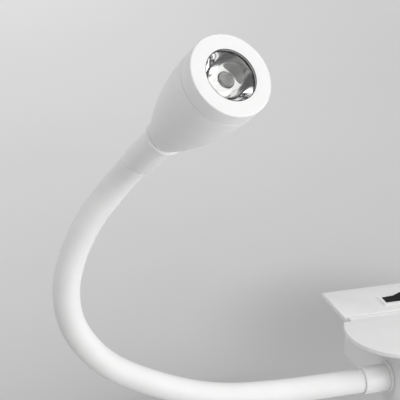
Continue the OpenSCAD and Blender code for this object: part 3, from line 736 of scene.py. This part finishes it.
def shelf_outline():
    half, side = SHELF_W / 2, SHELF_W / 2 + SHELF_BULGE
    front, notch = -GROOVE_Y - GROOVE_W, GROOVE_NOTCH - half
    corner_y = SHELF_CORNER - SHELF_D
    start = 180 - math.degrees(math.asin((front - corner_y) / SHELF_CORNER))
    left = [(-half, 0), (-half, -GROOVE_Y), (notch, -GROOVE_Y), (notch, front)]
    left += arc(SHELF_CORNER - side, corner_y, SHELF_CORNER, start, 270, SHELF_ARC_STEPS)
    return left + [(-x, y) for x, y in reversed(left)]


def housing_outline(inset, back):
    half, corner = HOUSING_W / 2 - inset, HOUSING_CORNER - inset
    front = -HOUSING_D + inset
    points = [(-half, back)]
    points += arc(corner - half, front + corner, corner, 180, 270, HOUSING_ARC_STEPS)
    points += arc(half - corner, front + corner, corner, 270, 360, HOUSING_ARC_STEPS)
    return points + [(half, back)]


def shelf_mesh():
    top = SHELF_RISE + SHELF_T
    half = SHELF_W / 2 - GROOVE_NOTCH + HOLE_PAST
    groove = box_outline(-half, half, -GROOVE_Y - GROOVE_W, -GROOVE_Y)
    x, y = SWITCH
    reach_x, reach_y = (size / 2 for size in SWITCH_CUT)
    window = box_outline(x - reach_x, x + reach_x, y - reach_y, y + reach_y)
    cuts = [
        prism(groove, top - GROOVE_DEPTH, top + CUT_PAST),
        prism(window, SHELF_RISE - CUT_PAST, top + CUT_PAST),
    ]
    mesh = carve("shelf", prism(shelf_outline(), SHELF_RISE, top), cuts, SHELF_EDGE)
    bm = bmesh.new()
    bm.from_mesh(mesh)
    seat, end = SHELF_RISE + SHELF_T / 4, FLOOR_TOP + PILOT_L
    for x, y in POSTS:
        profile = [(PILOT_R, FLOOR_TOP), (POST_R, FLOOR_TOP), (POST_R, seat)]
        profile += [(0, seat), (0, end), (PILOT_R, end)]
        post = lathe("post", profile, Matrix.Translation((x, y, 0)), BAR_SIDES)
        bm.from_mesh(post)
        bpy.data.meshes.remove(post)
    bm.to_mesh(mesh)
    bm.free()
    return mesh


def housing_mesh():
    cavity = prism(housing_outline(HOUSING_WALL, CUT_PAST), FLOOR_TOP, SHELF_RISE + CUT_PAST)
    body = prism(housing_outline(0, 0), FLOOR_BOTTOM, SHELF_RISE)
    mesh = carve("housing", body, [cavity], HOUSING_EDGE)
    shell = bmesh.new()
    shell.from_mesh(mesh)
    bpy.data.meshes.remove(mesh)
    low, high = FLOOR_BOTTOM - HOLE_PAST, FLOOR_TOP + HOLE_PAST
    holes = [
        rod(SCREW_HOLE_R, low, high, Matrix.Translation((x, y, 0))) for x, y in POSTS + TAB_HOLES
    ]
    wall = BASE_COLLAR_L + WASHER_T
    stud_r, end = STUD_R + SLIDE_GAP, wall + HOUSING_WALL + HOLE_PAST
    holes.append(rod(stud_r, wall - HOLE_PAST, end, BASE_COLLAR_PLACE))
    return carve("housing", shell, holes, 0)


for name, mesh, replaced in (
    ("shelf_moulded", shelf_mesh(), "top_shelf"),
    ("housing_moulded", housing_mesh(), "housing"),
):
    finish_mesh(name, mesh, WHITE_PLASTIC, "base", [replaced], BOX_SHARP)

# Pieces that keep their CAD solids, with their edges rounded by so many mm
SOFT_EDGES = {
    "switch_body": 0.3,
    "switch_rocker": 0.3,
    "wall_plate": 0.25,
    "shelf_screws": 0.25,
    "housing_screws": 0.25,
}
for name, width in SOFT_EDGES.items():
    round_edges(nodes[name], width * MM, CAD_STEPS)

# Floor and light, in m and W. A lamp has its direction from the target, its width and its power
FLOOR_Z, FLOOR_REACH = -0.5, 40
FLOOR_DARK, FLOOR_LIGHT, FLOOR_ROUGHNESS = (0.59, 0.59, 0.59), (0.61, 0.61, 0.61), (0.80, 0.90)
FLOOR_PATCHES, FLOOR_GLOSS_PATCHES, FLOOR_GRAIN = 3.0, 6.0, 40
FLOOR_BUMP, FLOOR_DEPTH = 0.02, 0.001
# Painted light: the floor's glow grows with distance and fades to the right
GLOW_CENTRE, GLOW_START, GLOW_RUN = (0.2, 0), 0.822, 2.2
GLOW_SCALE, GLOW_POWER = 0.376, 0.527
FADE_LEFT, FADE_RIGHT, FADE_TO = 0.2, 1.2, 0.78
# Painted shadow: a soft dark patch in the glow, in place of the base's shadow
SHADE_CENTRE, SHADE_REACH = (0.373, 0.839), (0.159, 0.197)
SHADE_INNER, SHADE_OUTER = 0.41, 1.59
LAMP_TARGET, LAMP_DISTANCE = (-0.17, -0.09, 0.10), 1.6
LAMPS = {
    "key": ((0.50, -0.85, 0.12), 1.6, 14),
    "low": ((0.80, -0.60, 0.00), 1.2, 6),
    "fill": ((-0.60, -0.75, 0.30), 1.2, 3.3),
    "top": ((0.00, 0.12, 0.99), 3.4, 15.5),
    "left": ((-0.75, 0.10, 0.65), 1.6, 7.2),
    "right": ((0.75, -0.10, 0.65), 1.6, 6.3),
}
WORLD_TINT, WORLD_STRENGTH = (0.99, 0.99, 1.0), 0.26
DIM_TOWARD, DIM_OUTER, DIM_INNER, DIM_STRENGTH = (-0.239, -0.903, 0.359), 0.72, 0.95, 0.08


def floor_glow(m):
    """The glow's strength, painted light: more with distance, less to the right, and less in one
    painted soft shadow.
    """
    split = m.add("ShaderNodeSeparateXYZ")
    m.link(m.place, split.inputs["Vector"])

    def distance(centre, reach):
        squares = []
        for key, at, size in zip("XY", centre, reach):
            offset = m.maths("DIVIDE", m.maths("SUBTRACT", split.outputs[key], at), size)
            squares.append(m.maths("MULTIPLY", offset, offset))
        return m.maths("SQRT", m.maths("ADD", *squares), 0)

    far = m.maths("SUBTRACT", distance(GLOW_CENTRE, (1, 1)), GLOW_START)
    far = m.maths("MINIMUM", m.maths("MAXIMUM", far, 0), GLOW_RUN)
    glow = m.maths("MULTIPLY", m.maths("POWER", far, GLOW_POWER), GLOW_SCALE)
    fade = m.slope(split.outputs["X"], FADE_LEFT, FADE_RIGHT, 1, FADE_TO, "SMOOTHSTEP")
    off = distance(SHADE_CENTRE, SHADE_REACH)
    shade = m.slope(off, SHADE_INNER, SHADE_OUTER, 0, 1, "SMOOTHSTEP")
    return m.maths("MULTIPLY", m.maths("MULTIPLY", glow, fade), shade)


def floor():
    """A pale floor far below. Only the camera, mirrors and glass see its glow, which is painted
    light with a painted shadow in it.
    """
    mesh = bpy.data.meshes.new("floor")
    corners = box_outline(-FLOOR_REACH, FLOOR_REACH, -FLOOR_REACH, FLOOR_REACH)
    mesh.from_pydata([(x, y, FLOOR_Z) for x, y in corners], [], [(0, 1, 2, 3)])
    m = Nodes("pale_floor")
    tint = m.tint(m.noise(FLOOR_PATCHES), FLOOR_DARK, FLOOR_LIGHT)
    m.link(tint, m.shader.inputs["Base Color"])
    gloss = m.spread(m.noise(FLOOR_GLOSS_PATCHES), *FLOOR_ROUGHNESS)
    m.link(gloss, m.shader.inputs["Roughness"])
    m.bump(m.noise(FLOOR_GRAIN), FLOOR_BUMP, FLOOR_DEPTH)
    path = m.add("ShaderNodeLightPath").outputs
    seen = m.maths("MAXIMUM", path["Is Camera Ray"], path["Is Glossy Ray"])
    seen = m.maths("MAXIMUM", seen, path["Is Transmission Ray"])
    m.set(Emission_Color=(1, 1, 1, 1))
    m.link(m.maths("MULTIPLY", floor_glow(m), seen), m.shader.inputs["Emission Strength"])
    mesh.materials.append(m.material)
    obj = bpy.data.objects.new("floor", mesh)
    scene.collection.objects.link(obj)


def world():
    """Dim light from all round, dimmer still from the viewer's side."""
    studio = bpy.data.worlds.new("studio")
    scene.world = studio
    studio.use_nodes = True
    tree = studio.node_tree
    background = tree.nodes["Background"]
    background.inputs["Color"].default_value = (*WORLD_TINT, 1)
    place = tree.nodes.new("ShaderNodeTexCoord")
    toward = tree.nodes.new("ShaderNodeVectorMath")
    toward.operation = "DOT_PRODUCT"
    toward.inputs[1].default_value = DIM_TOWARD
    dim = tree.nodes.new("ShaderNodeMapRange")
    dim.interpolation_type = "SMOOTHSTEP"
    for key, value in zip(RANGE_KEYS, (DIM_OUTER, DIM_INNER, WORLD_STRENGTH, DIM_STRENGTH)):
        dim.inputs[key].default_value = value
    tree.links.new(place.outputs["Generated"], toward.inputs[0])
    tree.links.new(toward.outputs["Value"], dim.inputs["Value"])
    tree.links.new(dim.outputs["Result"], background.inputs["Strength"])


def lamp(name, direction, size, power):
    """A round soft lamp that shines on the target."""
    data = bpy.data.lights.new(name, "AREA")
    data.shape = "DISK"
    data.size = size
    data.energy = power
    obj = bpy.data.objects.new(name, data)
    away = Vector(direction).normalized()
    obj.location = Vector(LAMP_TARGET) + away * LAMP_DISTANCE
    obj.rotation_euler = away.to_track_quat("Z", "Y").to_euler()
    scene.collection.objects.link(obj)


floor()
world()
for name, (direction, size, power) in LAMPS.items():
    lamp(name, direction, size, power)
